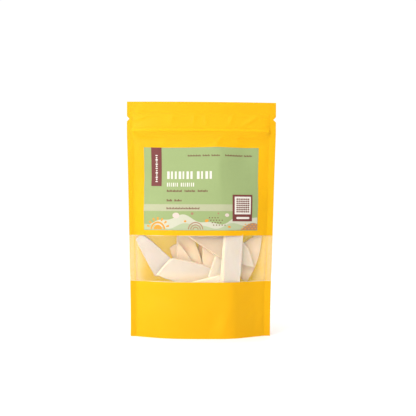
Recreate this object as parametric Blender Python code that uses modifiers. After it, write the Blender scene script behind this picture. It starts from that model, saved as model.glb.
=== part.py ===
"""A sealed stand-up pouch with a clear window strip, filled with dried slices of Chinese yam.

Units are metres. +Z is up and the labelled front faces -Y. The origin is on the surface that the
pouch stands on, under the middle of its base.

The pouch is three sheets of laminated film: a front, a back and a folded floor between them. Front
and back are welded flat along their sides and top, and bulge apart round the slices below.
"""

import math
from typing import NamedTuple

import bmesh
import bpy

MM = 0.001

# The bag: its width is that of the flat bag, and its height is as it stands, 1.5 mm less than flat
BAG_WIDTH = 131.0 * MM
BAG_HEIGHT = 204.5 * MM
SIDE_SEAL = 5.0 * MM
TOP_SEAL = 11.0 * MM
INSIDE = BAG_WIDTH / 2 - SIDE_SEAL

# The film, and the room left between sheets that are welded on the real bag
FILM = 0.4 * MM
GAP = 0.3 * MM

# The filled shape
BASE_BELLY = 17.5 * MM
FOOT = 8.0 * MM
WEDGE_TOP = 240.0 * MM
WEDGE_POWER = 1.5
CLOSES_AT = 181.0 * MM
CLOSING_POWER = 16
ROUND_SECTION = 2.8
FLAT_SECTION = 20.0
FLATTENS_FROM = 168.0 * MM
FLATTENING_POWER = 3

# The clear strip, the zip and the tear notches
WINDOW_BOTTOM = 48.1 * MM
WINDOW_TOP = 87.9 * MM
ZIP_HEIGHT = 179.5 * MM
ZIP_FLANGE = 8.0 * MM
ZIP_LENGTH = 106.0 * MM
ZIP_ROOM = 1.7 * MM
ZIP_MARGIN = 1.0 * MM
NOTCH_HEIGHT = BAG_HEIGHT - 15.0 * MM
NOTCH_SIDE = 2.6 * MM
NOTCH_DEPTH = 5.0 * MM

# The floor
GUSSET_CORNER = 38.0 * MM
GUSSET_SEAL_LOW = 6.0 * MM
GUSSET_RIDGE = 31.0 * MM
GUSSET_HALF = INSIDE - 3.0 * MM
SEAL_CURVE_POWER = 2.5
ARCH_POWER = 1.7

# The sticker
LABEL_WIDTH = 101.0 * MM
LABEL_BOTTOM = 92.4 * MM
LABEL_TOP = 164.5 * MM
LABEL_THICKNESS = 0.25 * MM

# Where the film's sheets are divided, from the middle outwards and from the base upwards
COLUMNS = [side * MM for side in (0, 10, 20, 30, 39, 47, 53, 57.5)] + [INSIDE, BAG_WIDTH / 2]
LOW_ROWS = [z * MM for z in (0, 8, 16, 24, 32, 40)]
WINDOW_ROWS = [z * MM for z in (58, 68, 78)]
LABEL_ROWS = [z * MM for z in (100, 112, 124, 136, 146, 155)]
TOP_ROWS = [z * MM for z in (170, 175, 184, 188.5, 193.5)]
HIGH_ROWS = LABEL_ROWS + [LABEL_TOP] + TOP_ROWS + [BAG_HEIGHT]

YELLOW = (0.97, 0.62, 0.01)
CLEAR = (0.93, 0.90, 0.80)
ZIP_WHITE = (0.93, 0.72, 0.10)
LABEL_GREEN = (0.48, 0.62, 0.30)
YAM_CREAM = (0.90, 0.79, 0.64)


class Slice(NamedTuple):
    """One dried slice, upright at first, with its broad face to the front. Lengths are in mm.

    The ends are cut on a slant (skew) and bow outwards (bulge). Lean turns the slice in the plane
    of the front, yaw takes its right edge back, and pitch takes its top back.
    """

    centre: tuple
    length: float
    width: float
    taper: float = 0.0
    barrel: float = 0.06
    thickness: float = 2.8
    skew_top: float = 0.0
    skew_bottom: float = 0.0
    bulge_top: float = 1.5
    bulge_bottom: float = 1.5
    bow: float = 0.8
    twist: float = 0.3
    lean: float = 0.0
    yaw: float = 0.0
    pitch: float = 0.0


SLICES = {
    # Against the window
    "yam_slice_01": Slice((26.3, -10.8, 67.5), 60, 17.8, taper=-0.04, thickness=2.6, bow=-0.6,
                          twist=0.7, lean=4.8, yaw=12, pitch=2.5),
    "yam_slice_02": Slice((4.8, -12.65, 43.3), 28.5, 16, taper=0.1, thickness=2.4, skew_bottom=-3,
                          bulge_bottom=0.5, bow=0.3, lean=-107, yaw=7, pitch=1),
    "yam_slice_03": Slice((-12.3, -7.3, 55.9), 43, 19.4, skew_top=-3.4, skew_bottom=2,
                          bulge_top=0.3, bow=-1.6, lean=-77, yaw=3, pitch=2),
    "yam_slice_04": Slice((2.3, -8.0, 89.4), 54, 20, thickness=2.6, skew_top=-5, lean=-55,
                          yaw=3.5, pitch=4),
    # In the middle
    "yam_slice_05": Slice((-39.9, -1.5, 68.6), 46.5, 17.0, taper=-0.43, barrel=0.1, thickness=1.8,
                          bulge_top=2, bow=0.3, lean=-38.5, yaw=-6),
    "yam_slice_06": Slice((16.9, -6.8, 59.0), 26, 16, thickness=2.2, bulge_top=3, bow=0.3,
                          lean=17, yaw=6, pitch=8),
    "yam_slice_07": Slice((34.3, -3.7, 72.5), 26, 16, barrel=0.45, thickness=2.2, skew_bottom=-4,
                          bulge_bottom=0.5, bow=0.3, lean=-30, yaw=3),
    "yam_slice_08": Slice((10.4, -2.5, 65.0), 54, 18.5, thickness=2.6, skew_top=2, lean=-1.5),
    "yam_slice_09": Slice((41.0, -0.2, 67.0), 38, 17.5, taper=0.35, barrel=0.35, thickness=2.0,
                          skew_top=8, skew_bottom=-0.5, bulge_top=0.5, bulge_bottom=0.3, bow=0.3,
                          lean=9, yaw=3),
    # Behind
    "yam_slice_10": Slice((-13.8, -1.1, 55.7), 40, 12.8, thickness=2.6, skew_top=-8.5, lean=-3),
    "yam_slice_11": Slice((-12.0, 2.7, 73.5), 44, 19.5, taper=-0.39, thickness=2.6, lean=-9.8),
    "yam_slice_12": Slice((-17.2, 6.5, 63.4), 34, 12, thickness=2.6, lean=-20),
    "yam_slice_13": Slice((6.5, 6.0, 66.0), 62, 19, thickness=2.6, lean=4),
    "yam_slice_14": Slice((26.0, 2.4, 66.0), 58, 18, taper=0.05, lean=2),
    "yam_slice_15": Slice((5.0, 10.3, 57.0), 50, 19, bow=0.3, lean=-84),
    "yam_slice_16": Slice((6.0, 13.8, 55.0), 46, 18, thickness=2.0, bow=0.3, lean=4, pitch=-3),
}
SLICE_ROWS = 8
SLICE_COLUMNS = 4
SLICE_EDGE = 0.5 * MM


def blend(low, high, value):
    """0 below low, 1 above high, and a smooth rise between them."""
    share = min(1.0, max(0.0, (value - low) / (high - low)))
    return share * share * (3 - 2 * share)


def belly(z):
    """How far the front's inner face stands out from the middle plane, at the middle of the bag."""
    wedge = BASE_BELLY * (1 - (max(z - FOOT, 0.0) / WEDGE_TOP) ** WEDGE_POWER)
    filled = wedge * max(0.0, 1 - (z / CLOSES_AT) ** CLOSING_POWER)
    zip_top = ZIP_HEIGHT + ZIP_FLANGE / 2
    seal = BAG_HEIGHT - TOP_SEAL
    closed = ZIP_ROOM * min(1.0, max(0.0, (seal - z) / (seal - zip_top - ZIP_MARGIN / 2)))
    return max(filled, closed)


def section_power(z):
    """The section is an arch low down, and two flat sheets at the zip."""
    share = blend(FLATTENS_FROM, ZIP_HEIGHT - ZIP_FLANGE / 2 - ZIP_MARGIN, z)
    return ROUND_SECTION + (FLAT_SECTION - ROUND_SECTION) * share ** FLATTENING_POWER


def film_taken(z):
    """How much of half the flat film goes into the arch of the section."""
    power = section_power(z)
    return (power * belly(z)) ** 2 / (2 * (2 * power - 1) * INSIDE)


def front_face(side, z):
    """A point of the front sheet's inner face. Side is measured along the flat film."""
    taken = film_taken(z)
    flat = min(abs(side), INSIDE)
    reach = flat / INSIDE
    for _ in range(4):
        reach = (flat - taken * reach ** (2 * section_power(z) - 1)) / (INSIDE - taken)
    x = reach * (INSIDE - taken) + max(0.0, abs(side) - INSIDE)
    y = -GAP / 2 - belly(z) * (1 - reach ** section_power(z))
    return math.copysign(x, side), y, z


def front_lifted(side, z, lift):
    """A point that stands off the front sheet's inner face by lift."""
    step = 0.5 * MM
    x, y, _ = front_face(side, z)
    right = front_face(side + step, z)
    left = front_face(side - step, z)
    above = front_face(side, z + step)
    below = front_face(side, z - step)
    slope_x = (right[1] - left[1]) / (right[0] - left[0])
    slope_z = (above[1] - below[1]) / (2 * step)
    scale = lift / math.hypot(1, slope_x, slope_z)
    return x + slope_x * scale, y - scale, z + slope_z * scale


def gusset_point(side, row):
    """A point of the floor's upper side, which turns down at the front and back and lines the films.

    Row runs from the front rim (-3) to the back rim (3), and turns down at -2 and 2.
    """
    reach = side / INSIDE
    z_seal = GUSSET_SEAL_LOW + (GUSSET_CORNER - GUSSET_SEAL_LOW) * abs(reach) ** SEAL_CURVE_POWER
    z_ridge = GUSSET_RIDGE + (GUSSET_CORNER - GUSSET_RIDGE) * reach ** 2
    facing = math.copysign(1, row)
    if abs(row) >= 2:
        z = z_seal * (3 - abs(row))
        x, y, _ = front_face(side, z)
        return x, -facing * (y + GAP), z
    x, y, _ = front_face(side, z_seal)
    across = abs(row) / 2
    z = z_seal + max(z_ridge - z_seal, 0) * (1 - across ** ARCH_POWER)
    return x, -facing * (y + GAP) * across, z


def material(name, colour, roughness, alpha=1.0):
    made = bpy.data.materials.new(name)
    made.use_nodes = True
    shader = made.node_tree.nodes["Principled BSDF"]
    shader.inputs["Base Color"].default_value = (*colour, 1.0)
    shader.inputs["Roughness"].default_value = roughness
    shader.inputs["Metallic"].default_value = 0.0
    shader.inputs["Alpha"].default_value = alpha
    made.diffuse_color = (*colour, alpha)
    return made


def add_object(name, mesh, finish, collection):
    mesh.materials.append(finish)
    made = bpy.data.objects.new(name, mesh)
    collection.objects.link(made)
    return made


def sheet(name, across, rows, place, thickness, finish, collection):
    """A grid laid over place(across, row), thickened towards the side that its faces look to."""
    grid = bmesh.new()
    bmesh.ops.create_grid(grid, x_segments=len(across) - 1, y_segments=len(rows) - 1, size=1.0)
    for vertex in grid.verts:
        column = round((vertex.co.x + 1) / 2 * (len(across) - 1))
        row = round((vertex.co.y + 1) / 2 * (len(rows) - 1))
        vertex.co = place(across[column], rows[row])
    mesh = bpy.data.meshes.new(name)
    grid.to_mesh(mesh)
    grid.free()
    made = add_object(name, mesh, finish, collection)
    made.data.shade_smooth()
    thicken = made.modifiers.new("film", "SOLIDIFY")
    thicken.thickness = thickness
    thicken.offset = 1.0
    thicken.use_even_offset = True
    return made


def cut_notches(film, cutters):
    for number, cutter in enumerate(cutters, 1):
        cut = film.modifiers.new(f"notch_{number}", "BOOLEAN")
        cut.operation = "DIFFERENCE"
        cut.solver = "EXACT"
        cut.object = cutter


def notch_cutters(collection):
    """A square bar stands on its edge at each side of the bag, so that its corner makes the tear notch."""
    made = []
    for side in (-1, 1):
        shape = bmesh.new()
        bmesh.ops.create_cube(shape, size=NOTCH_SIDE)
        mesh = bpy.data.meshes.new("notch_cutter")
        shape.to_mesh(mesh)
        shape.free()
        cutter = bpy.data.objects.new("notch_cutter", mesh)
        cutter.location = (side * front_face(BAG_WIDTH / 2, NOTCH_HEIGHT)[0], 0, NOTCH_HEIGHT)
        cutter.rotation_euler.y = math.radians(45)
        cutter.scale.y = NOTCH_DEPTH / NOTCH_SIDE
        cutter.hide_render = True
        cutter.display_type = "WIRE"
        collection.objects.link(cutter)
        made.append(cutter)
    return made


def mirrored(columns):
    return [-side for side in reversed(columns[1:])] + columns


def columns_within(half_width):
    """The films' own columns, so that a sheet that lies on them has its facets parallel to theirs."""
    return [side for side in COLUMNS if side < half_width] + [half_width]


def back_face(side, z):
    """The back sheet is the front one seen from behind."""
    x, y, _ = front_face(-side, z)
    return x, -y, z


def build_films(yellow, clear, collection, cutters):
    columns = mirrored(COLUMNS)
    low_edge = WINDOW_BOTTOM - GAP / 2
    high_edge = WINDOW_TOP + GAP / 2
    lower_rows = LOW_ROWS + [low_edge]
    window_rows = [low_edge + GAP] + WINDOW_ROWS + [high_edge - GAP]
    upper_rows = [high_edge] + HIGH_ROWS
    back_rows = LOW_ROWS + [WINDOW_BOTTOM] + WINDOW_ROWS + [WINDOW_TOP] + HIGH_ROWS
    sheet("front_film_lower", columns, lower_rows, front_face, FILM, yellow, collection)
    sheet("window_film", columns, window_rows, front_face, FILM, clear, collection)
    upper = sheet("front_film_upper", columns, upper_rows, front_face, FILM, yellow, collection)
    back = sheet("back_film", columns, back_rows, back_face, FILM, yellow, collection)
    cut_notches(upper, cutters)
    cut_notches(back, cutters)


def build_gusset(yellow, collection):
    columns = mirrored(columns_within(GUSSET_HALF))
    rows = [3, 2.5, 2, 1.6, 1.2, 0.8, 0.4, 0, -0.4, -0.8, -1.2, -1.6, -2, -2.5, -3]
    sheet("gusset_film", columns, rows, gusset_point, FILM, yellow, collection)


def build_label(finish, collection):
    columns = mirrored(columns_within(LABEL_WIDTH / 2))
    rows = [LABEL_BOTTOM] + LABEL_ROWS + [LABEL_TOP]

    def on_film(side, z):
        return front_lifted(side, z, FILM + GAP)

    sheet("front_label", columns, rows, on_film, LABEL_THICKNESS, finish, collection)


def zip_strip(name, outline, facing, finish, collection):
    """Extrudes one half of the zip along X. The outline is (distance from the middle, height), in mm."""
    curve = bpy.data.curves.new(name, "CURVE")
    curve.dimensions = "2D"
    curve.fill_mode = "BOTH"
    curve.extrude = ZIP_LENGTH / 2
    spline = curve.splines.new("POLY")
    spline.points.add(len(outline) - 1)
    for point, (out, up) in zip(spline.points, outline):
        point.co = (facing * out * MM, up * MM, 0, 1)
    spline.use_cyclic_u = True
    made = add_object(name, curve, finish, collection)
    made.rotation_euler = (math.radians(90), 0, math.radians(90))
    made.location.z = ZIP_HEIGHT
    return made


def build_zip(finish, collection):
    """A grooved strip on the front film, and a strip with an arrow-headed rib that is pressed into it."""
    flange = ZIP_FLANGE / 2 / MM
    outer, inner = 1.35, 1.05
    lip_end, lip_back, channel, rib, mouth = 0.3, 0.05, 0.8, 1.2, 0.45
    groove = [
        (outer, -flange), (outer, flange), (inner, flange), (inner, rib),
        (-lip_end, rib), (-lip_end, mouth), (lip_back, mouth), (lip_back, channel),
        (inner, channel), (inner, -channel), (lip_back, -channel), (lip_back, -mouth),
        (-lip_end, -mouth), (-lip_end, -rib), (inner, -rib), (inner, -flange),
    ]
    stem, head, head_back, head_end = 0.2, 0.55, 0.3, 0.75
    arrow = [
        (outer, -flange), (outer, flange), (inner, flange), (inner, stem),
        (-head_back, stem), (-head_back, head), (-head_end, head * 0.6),
        (-head_end, -head * 0.6), (-head_back, -head), (-head_back, -stem),
        (inner, -stem), (inner, -flange),
    ]
    zip_strip("zip_groove_strip", groove, -1, finish, collection)
    zip_strip("zip_rib_strip", arrow, 1, finish, collection)


def slice_mesh(name, spec):
    """A slanted, slightly bent plank whose middle is at the origin, with its length along Z."""
    grid = bmesh.new()
    bmesh.ops.create_grid(grid, x_segments=SLICE_COLUMNS, y_segments=SLICE_ROWS, size=1.0)
    for vertex in grid.verts:
        across, along = vertex.co.x, vertex.co.y
        to_top, to_bottom = max(along, 0.0), max(-along, 0.0)
        width = spec.width * (1 + spec.taper * along - spec.barrel * along ** 2)
        up = spec.length / 2 * along
        up += (spec.skew_top * across - spec.bulge_top * across ** 2) * to_top ** 3
        up += (spec.skew_bottom * across + spec.bulge_bottom * across ** 2) * to_bottom ** 3
        out = spec.bow * (along ** 2 - 0.5) + spec.twist * across * along
        vertex.co = (across * width / 2 * MM, -out * MM, up * MM)
    mesh = bpy.data.meshes.new(name)
    grid.to_mesh(mesh)
    grid.free()
    return mesh


def build_slices(finish, collection):
    for name, spec in SLICES.items():
        made = add_object(name, slice_mesh(name, spec), finish, collection)
        made.location = [value * MM for value in spec.centre]
        made.rotation_mode = "YXZ"
        made.rotation_euler = [math.radians(a) for a in (-spec.pitch, spec.lean, spec.yaw)]
        thicken = made.modifiers.new("slice", "SOLIDIFY")
        thicken.thickness = spec.thickness * MM
        thicken.offset = 0.0
        edge = made.modifiers.new("edge", "BEVEL")
        edge.width = SLICE_EDGE
        edge.segments = 1
        edge.limit_method = "ANGLE"
        edge.angle_limit = math.radians(50)


def main():
    for old in list(bpy.data.objects):
        bpy.data.objects.remove(old)
    pouch = bpy.data.collections.new("yam_pouch")
    helpers = bpy.data.collections.new("cutters")
    for collection in (pouch, helpers):
        bpy.context.scene.collection.children.link(collection)

    yellow = material("yellow_film", YELLOW, 0.42)
    clear = material("clear_film", CLEAR, 0.35, alpha=0.3)
    zip_finish = material("zip_plastic", ZIP_WHITE, 0.35)
    paper = material("label_paper", LABEL_GREEN, 0.55)
    yam = material("dried_yam", YAM_CREAM, 0.85)

    build_films(yellow, clear, pouch, notch_cutters(helpers))
    build_gusset(yellow, pouch)
    build_label(paper, pouch)
    build_zip(zip_finish, pouch)
    build_slices(yam, pouch)


main()
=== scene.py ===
"""The looks of a sealed stand-up pouch of dried Chinese yam slices, built around its solids.

Units are metres, in the frame of the solids: +Z is up and the labelled front faces -Y. Places on the
film are given flat, as (side, z): side is measured along the film from its middle line, and z is the
height.
"""

import math
from types import SimpleNamespace

import bmesh
import bpy
import numpy as np
from mathutils import Euler, Matrix, Vector, noise


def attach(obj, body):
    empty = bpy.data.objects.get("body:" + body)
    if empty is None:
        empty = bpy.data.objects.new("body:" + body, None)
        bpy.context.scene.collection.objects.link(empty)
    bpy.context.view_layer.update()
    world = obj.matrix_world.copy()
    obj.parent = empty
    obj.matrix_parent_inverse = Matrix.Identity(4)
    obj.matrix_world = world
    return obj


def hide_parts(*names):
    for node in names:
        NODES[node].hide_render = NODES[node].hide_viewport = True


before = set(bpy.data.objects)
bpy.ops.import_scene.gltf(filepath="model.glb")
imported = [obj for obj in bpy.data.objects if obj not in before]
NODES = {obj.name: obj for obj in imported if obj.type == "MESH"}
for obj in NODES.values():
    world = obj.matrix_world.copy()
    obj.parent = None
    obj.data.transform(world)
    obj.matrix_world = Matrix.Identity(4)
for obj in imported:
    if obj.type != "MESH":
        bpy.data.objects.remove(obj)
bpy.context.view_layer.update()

MM = 0.001
# The flat film's UV map and the nodes that read it are in decimetres
DM = 0.1

# The bag, as in the solids
BAG_WIDTH = 131.0 * MM
BAG_HEIGHT = 204.5 * MM
SIDE_SEAL = 5.0 * MM
TOP_SEAL = 11.0 * MM
INSIDE = BAG_WIDTH / 2 - SIDE_SEAL
BASE_BELLY = 17.5 * MM
FOOT = 8.0 * MM
WEDGE_TOP = 240.0 * MM
WEDGE_POWER = 1.5
CLOSES_AT = 181.0 * MM
CLOSING_POWER = 16
ROUND_SECTION = 2.8
FLAT_SECTION = 12.0
FLATTENS_FROM = 171.0 * MM
WINDOW_BOTTOM = 48.1 * MM
WINDOW_TOP = 87.9 * MM
ZIP_HEIGHT = 179.5 * MM
ZIP_FLANGE = 8.0 * MM
ZIP_ROOM = 1.7 * MM
ZIP_MARGIN = 1.0 * MM
NOTCH_HEIGHT = BAG_HEIGHT - 15.0 * MM
NOTCH_DEPTH = 2.3 * MM
NOTCH_FROM = 62.0 * MM
GUSSET_CORNER = 38.0 * MM
GUSSET_SEAL_LOW = 6.0 * MM
GUSSET_RIDGE = 31.0 * MM
GUSSET_HALF = INSIDE - 3.0 * MM
GUSSET_ROOM = 0.3 * MM
SEAL_CURVE_POWER = 2.5
ARCH_POWER = 1.7
LABEL_HALF = 50.5 * MM
LABEL_BOTTOM = 92.4 * MM
LABEL_TOP = 164.5 * MM

# The real films are thinner than their solids, and meet at the seals
WELD = 0.02 * MM
FILM = 0.28 * MM
LABEL_LIFT = FILM + 0.02 * MM
LABEL_PAPER = 0.12 * MM
INK = 0.03 * MM

# The camera, set from the corners of the bag, the label and the clear strip in the photograph
CAMERA_PLACE = (-11.1 * MM, -650.0 * MM, 111.9 * MM)
CAMERA_YAW = 1.50
CAMERA_PITCH = -0.02
CAMERA_ROLL = 0.29
CAMERA_LENS = 64.3
CAMERA_SENSOR = 36.0

# The light: a soft key at the left, in a room that is brightest to the left, the front and above. A wide
# light behind the bag shines through its back film.
KEY_PLACE = (-0.35, -0.42, 0.36)
KEY_SIZE = 0.5
KEY_POWER = 2.2
BACK_PLACE = (0.05, 0.55, 0.30)
BACK_SIZE = 0.5
BACK_POWER = 0.8
LIGHTS_AIM = (0.0, 0.0, 0.1)
ROOM_LIGHT = (-0.7, -0.42, 0.55)
ROOM_STRENGTH = (0.1, 1.6)
BACKDROP_STRENGTH = 1.05
FLOOR_HALF = 4.0
FLOOR_COLOUR = (0.93, 0.93, 0.93)


def blend(low, high, value):
    """0 below low, 1 above high, and a smooth rise between them."""
    share = np.clip((value - low) / (high - low), 0.0, 1.0)
    return share * share * (3 - 2 * share)


# The shape of the film

def belly(z):
    """How far the front's inner face stands out from the middle plane, at the middle of the bag."""
    wedge = BASE_BELLY * (1 - (np.maximum(z - FOOT, 0.0) / WEDGE_TOP) ** WEDGE_POWER)
    filled = wedge * np.maximum(0.0, 1 - (np.maximum(z, 0.0) / CLOSES_AT) ** CLOSING_POWER)
    zip_top = ZIP_HEIGHT + ZIP_FLANGE / 2
    seal = BAG_HEIGHT - TOP_SEAL
    closed = ZIP_ROOM * np.clip((seal - z) / (seal - zip_top - ZIP_MARGIN / 2), 0.0, 1.0)
    return np.maximum(filled, closed)


def section_power(z):
    """How square the bag's level section is: round where it is filled, and flat by the zip."""
    share = blend(FLATTENS_FROM, ZIP_HEIGHT - ZIP_FLANGE / 4, z)
    return ROUND_SECTION + (FLAT_SECTION - ROUND_SECTION) * share


def face(side, z):
    """X and y of the front sheet's inner face. The rounder it stands out, the more of its width is
    taken up, and reach is how far out towards the seal a place then lies."""
    power = section_power(z)
    taken = (ROUND_SECTION * belly(z)) ** 2 / (2 * (2 * ROUND_SECTION - 1) * INSIDE)
    flat = np.minimum(np.abs(side), INSIDE)
    reach = flat / INSIDE
    for _ in range(6):
        reach = (flat - taken * reach ** (2 * power - 1)) / (INSIDE - taken)
    x = reach * (INSIDE - taken) + np.maximum(0.0, np.abs(side) - INSIDE)
    y = -WELD - belly(z) * (1 - reach ** power)
    return np.copysign(x, side), y


def lifted(side, z, lift):
    """Points that stand off the front sheet's inner face by lift, as an array (rows, columns, 3)."""
    step = 0.4 * MM
    x, y = face(side, z)
    right, left = face(side + step, z), face(side - step, z)
    above, below = face(side, z + step), face(side, z - step)
    slope_x = (right[1] - left[1]) / (right[0] - left[0])
    slope_z = (above[1] - below[1]) / (2 * step)
    scale = lift / np.sqrt(1 + slope_x ** 2 + slope_z ** 2)
    return np.stack([x + slope_x * scale, y - scale, z + slope_z * scale], axis=-1)


# The relief of the film

# Each dent or fold: its middle (side, z), its half-length and half-width, the turn of its length from
# level in degrees, and its height. All in mm, but for the turn.
FRONT_FOLDS = [
    # Head of the bag, over the zip
    (-7, 189.0, 4.2, 1.6, 78, 0.45), (3.5, 189.0, 4.2, 1.6, 100, 0.45), (26, 189.2, 4.6, 1.7, 68, 0.55),
    (44, 188.6, 9, 2.0, 32, 0.80), (54, 190.0, 5, 2, -24, 0.45), (-55, 196.0, 5, 4, 30, 0.40),
    (-52, 190.2, 9, 1.6, 15, 0.50), (-26, 189.0, 4.5, 2.2, 72, 0.34), (14, 197.0, 14, 3, 6, 0.10),
    # Between the zip and the label
    (14.6, 169.6, 6.5, 2.0, 50, 0.60), (-8, 171.0, 10, 2.5, -12, 0.14), (31.5, 170.5, 5, 2.4, 78, 0.34),
    (-53, 171.0, 7, 2.0, -56, -0.45), (-34, 168.0, 5, 2, 50, 0.20), (0, 172.5, 90, 4.0, 0, -0.45),
    # Under the label's upper right
    (37, 157.0, 16, 9.0, 85, -0.80),
    # Beside the label
    (-53.5, 166.0, 5, 3, 15, 0.26), (-53.0, 147.0, 5, 3, -10, 0.24), (-52.5, 129.0, 5, 3, 8, 0.22),
    (53.0, 157.0, 5, 3, -18, 0.22), (53.5, 137.0, 6, 3, 12, -0.22), (53.0, 113.0, 5, 3, -8, 0.22),
    (-53.0, 108.0, 5, 3, 12, 0.18),
    # Under the clear strip
    (-30, 33.0, 30, 8.0, -24, -0.80), (10.5, 14.0, 10, 6.0, 78, -1.20), (20.5, 13.0, 10, 4.5, 82, 0.80),
    (56.5, 12.5, 6, 3, 70, 0.26), (-50, 33.0, 9, 4, 60, -0.22),
    (42, 30.0, 12, 4, 40, -0.18), (36, 12.0, 14, 4, 4, 0.16), (-40, 12.0, 13, 5, -6, 0.14),
    (-10, 25.0, 42, 11, 0, 0.90),
]
BACK_FOLDS = [
    (-20, 150.0, 26, 4, 62, 0.35), (24, 138.0, 30, 4, -66, 0.30), (4, 96.0, 22, 5, 80, -0.30),
    (-34, 84.0, 18, 4, 20, 0.30), (33, 66.0, 20, 4, -24, 0.30), (-10, 40.0, 24, 3, 10, -0.25),
    (18, 26.0, 22, 2.4, -14, 0.22), (-38, 30.0, 16, 3, 18, 0.22), (30, 191.0, 9, 2.2, -30, 0.35),
    (-26, 192.0, 7, 2.5, 75, -0.30), (0, 171.0, 16, 3, 6, 0.22), (46, 112.0, 12, 4, 74, 0.22),
    (-48, 120.0, 14, 4, 96, 0.22), (8, 12.0, 16, 4, 4, 0.20),
]
# A soft upright crease, from which the filled front is drawn flat to both side seals. Each row is a
# height, the crease's side and its half-width, all in mm, and how flat the right and the left are.
CREASE = [
    (0, 28, 6.5, 0.7, 0.0), (12, 27.5, 7.5, 1.0, 0.0), (24, 26.5, 9.0, 1.0, 0.0),
    (36, 25.5, 9.5, 1.0, 0.0), (52, 25, 7.0, 0.9, 0.0), (70, 24, 4.5, 0.7, 0.15),
    (92, 21, 4.0, 0.6, 0.1), (108, 19, 5.0, 0.4, 0.1), (118, 18, 6.0, 0.25, 0.3),
    (128, 17, 4.5, 0.5, 0.45), (138, 16, 3.5, 0.85, 0.75), (150, 15, 4.5, 1.0, 0.9),
    (158, 17, 7.0, 1.0, 0.9), (164, 15, 5.0, 1.0, 0.9), (172, 13, 4.0, 0.35, 0.35),
    (178, 13, 4.0, 0, 0),
]
# The crease's ridge: how steep its sides are, how far they reach, and how far from the crease they
# cross the film's smooth shape. Where the film is drawn flat, that starts round.
RIDGE_SLOPE = 0.035
RIDGE_REACH = 28.0 * MM
RIDGE_LEVEL = 22.0 * MM
CREASE_ROUND = 0.8 * MM

# The film's unevenness, as the height of its waves in mm and their length: two kinds all over, and the
# puckers that run in from the side seals. The puckers are highest PUCKER_REACH mm from the seal, and
# their noise is read along one line, at PUCKER_SIDE, so that they run level.
SOFT_WAVES = (0.22, 26.0 * MM)
SMALL_WAVES = (0.06, 9.0 * MM)
PUCKERS = (0.24, 6.5 * MM)
PUCKER_REACH = 4.0
PUCKER_SIDE = 90.0 * MM
# The rise of the zip's flanges and track, and of the spots where its ends are crushed, in mm
FLANGE_RISE = 0.26
TRACK_RISE = 0.85
CRUSHED_RISE = 0.40
CRUSHED_AT = 59.3
# How deep the welds are pressed in, in mm: beside the side seals, over the top seal's lower edge, and
# over the base. Under the top seal's edge the film rolls out.
SIDE_DENT = 0.12
TOP_DENT = 0.14
TOP_ROLL = 0.16
BASE_DENT = 0.05
# The folded floor is crumpled along its ridge
CRUMPLE = (0.35, 11.0 * MM)

# The empty head of the bag bows back towards its sides. Its foot is drawn in a little, and the foot's
# left corner leans forward.
HEAD_BOW = 2.2 * MM
HEAD_RISE = (150.0 * MM, 182.0 * MM)
CORNER_LEAN = 3.0 * MM
CORNER_REACH = (38.0 * MM, 64.0 * MM)
FOOT_DRAW = 0.006
FOOT_RISE = (5.0 * MM, 80.0 * MM)


def waves(side, z, kind, seed):
    """Smooth noise over the flat film, of a kind that is its height and its length."""
    height, length = kind
    pairs = zip((side / length).flat, (z / length).flat)
    return height * np.array([noise.noise((a, b, seed)) for a, b in pairs]).reshape(side.shape)


def fold(side, z, spec):
    """One dent or fold, as a soft bump."""
    at_side, at_z, length, width, turn, height = spec
    c, s = math.cos(math.radians(turn)), math.sin(math.radians(turn))
    along = ((side / MM - at_side) * c + (z / MM - at_z) * s) / length
    across = (-(side / MM - at_side) * s + (z / MM - at_z) * c) / width
    return height * MM * np.exp(-along ** 2 - across ** 2)


def zip_relief(side, z):
    """The zip's flanges and its closed track press through the film as level lines. Up is the height
    over the zip's middle, in mm."""
    up = (z - ZIP_HEIGHT) / MM
    inside = 1 - blend(INSIDE - 2 * MM, INSIDE, np.abs(side))
    flange = FLANGE_RISE * (blend(-4.3, -3.3, up) - blend(3.2, 4.6, up))
    track = TRACK_RISE * (blend(-4.0, -0.5, up) - blend(-0.5, 1.0, up))
    crushed = CRUSHED_RISE * np.exp(-((np.abs(side) / MM - CRUSHED_AT) / 0.9) ** 2 - ((up + 0.6) / 1.3) ** 2)
    return MM * (inside * (flange + track) + crushed)


def seal_height(side):
    """The height of the curved weld between a film and the folded floor."""
    return GUSSET_SEAL_LOW + (GUSSET_CORNER - GUSSET_SEAL_LOW) * np.abs(side / INSIDE) ** SEAL_CURVE_POWER


def seal_lines(side, z):
    """The welds are pressed in a little: along each side, at the top seal's edge, and over the base."""
    inside = np.abs(side) < INSIDE
    beside = np.exp(-((np.abs(side) - INSIDE - 0.3 * MM) / (0.5 * MM)) ** 2)
    past = (z - (BAG_HEIGHT - TOP_SEAL)) / MM
    over, under = np.exp(-((past - 0.7) / 0.6) ** 2), np.exp(-((past + 0.9) / 0.9) ** 2)
    at_top = TOP_DENT * over - TOP_ROLL * under
    over_base = np.exp(-((z - seal_height(side) - 1.5 * MM) / (1.6 * MM)) ** 2)
    return -MM * (SIDE_DENT * beside + at_top * inside + BASE_DENT * over_base * inside)


def relief(side, z, folds, seed):
    """How far the film's outer face stands off its smooth shape."""
    from_seal = (INSIDE - np.abs(side)) / MM
    inside = blend(0.0, 5.0, from_seal)
    tall = blend(0.0, 12.0 * MM, z) * (1 - blend(BAG_HEIGHT - 14 * MM, BAG_HEIGHT - 6 * MM, z))
    soft = waves(side, z, SOFT_WAVES, seed) + waves(side, z, SMALL_WAVES, seed + 3)
    depth = np.maximum(from_seal, 0.0) / PUCKER_REACH
    pucker = depth * np.exp(1 - depth) * waves(np.copysign(PUCKER_SIDE, side), z, PUCKERS, seed + 7)
    out = MM * tall * (inside * soft + pucker) + zip_relief(side, z) + seal_lines(side, z)
    for spec in folds:
        out = out + fold(side, z, spec) * blend(-2.0, 3.0, from_seal)
    return out


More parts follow.
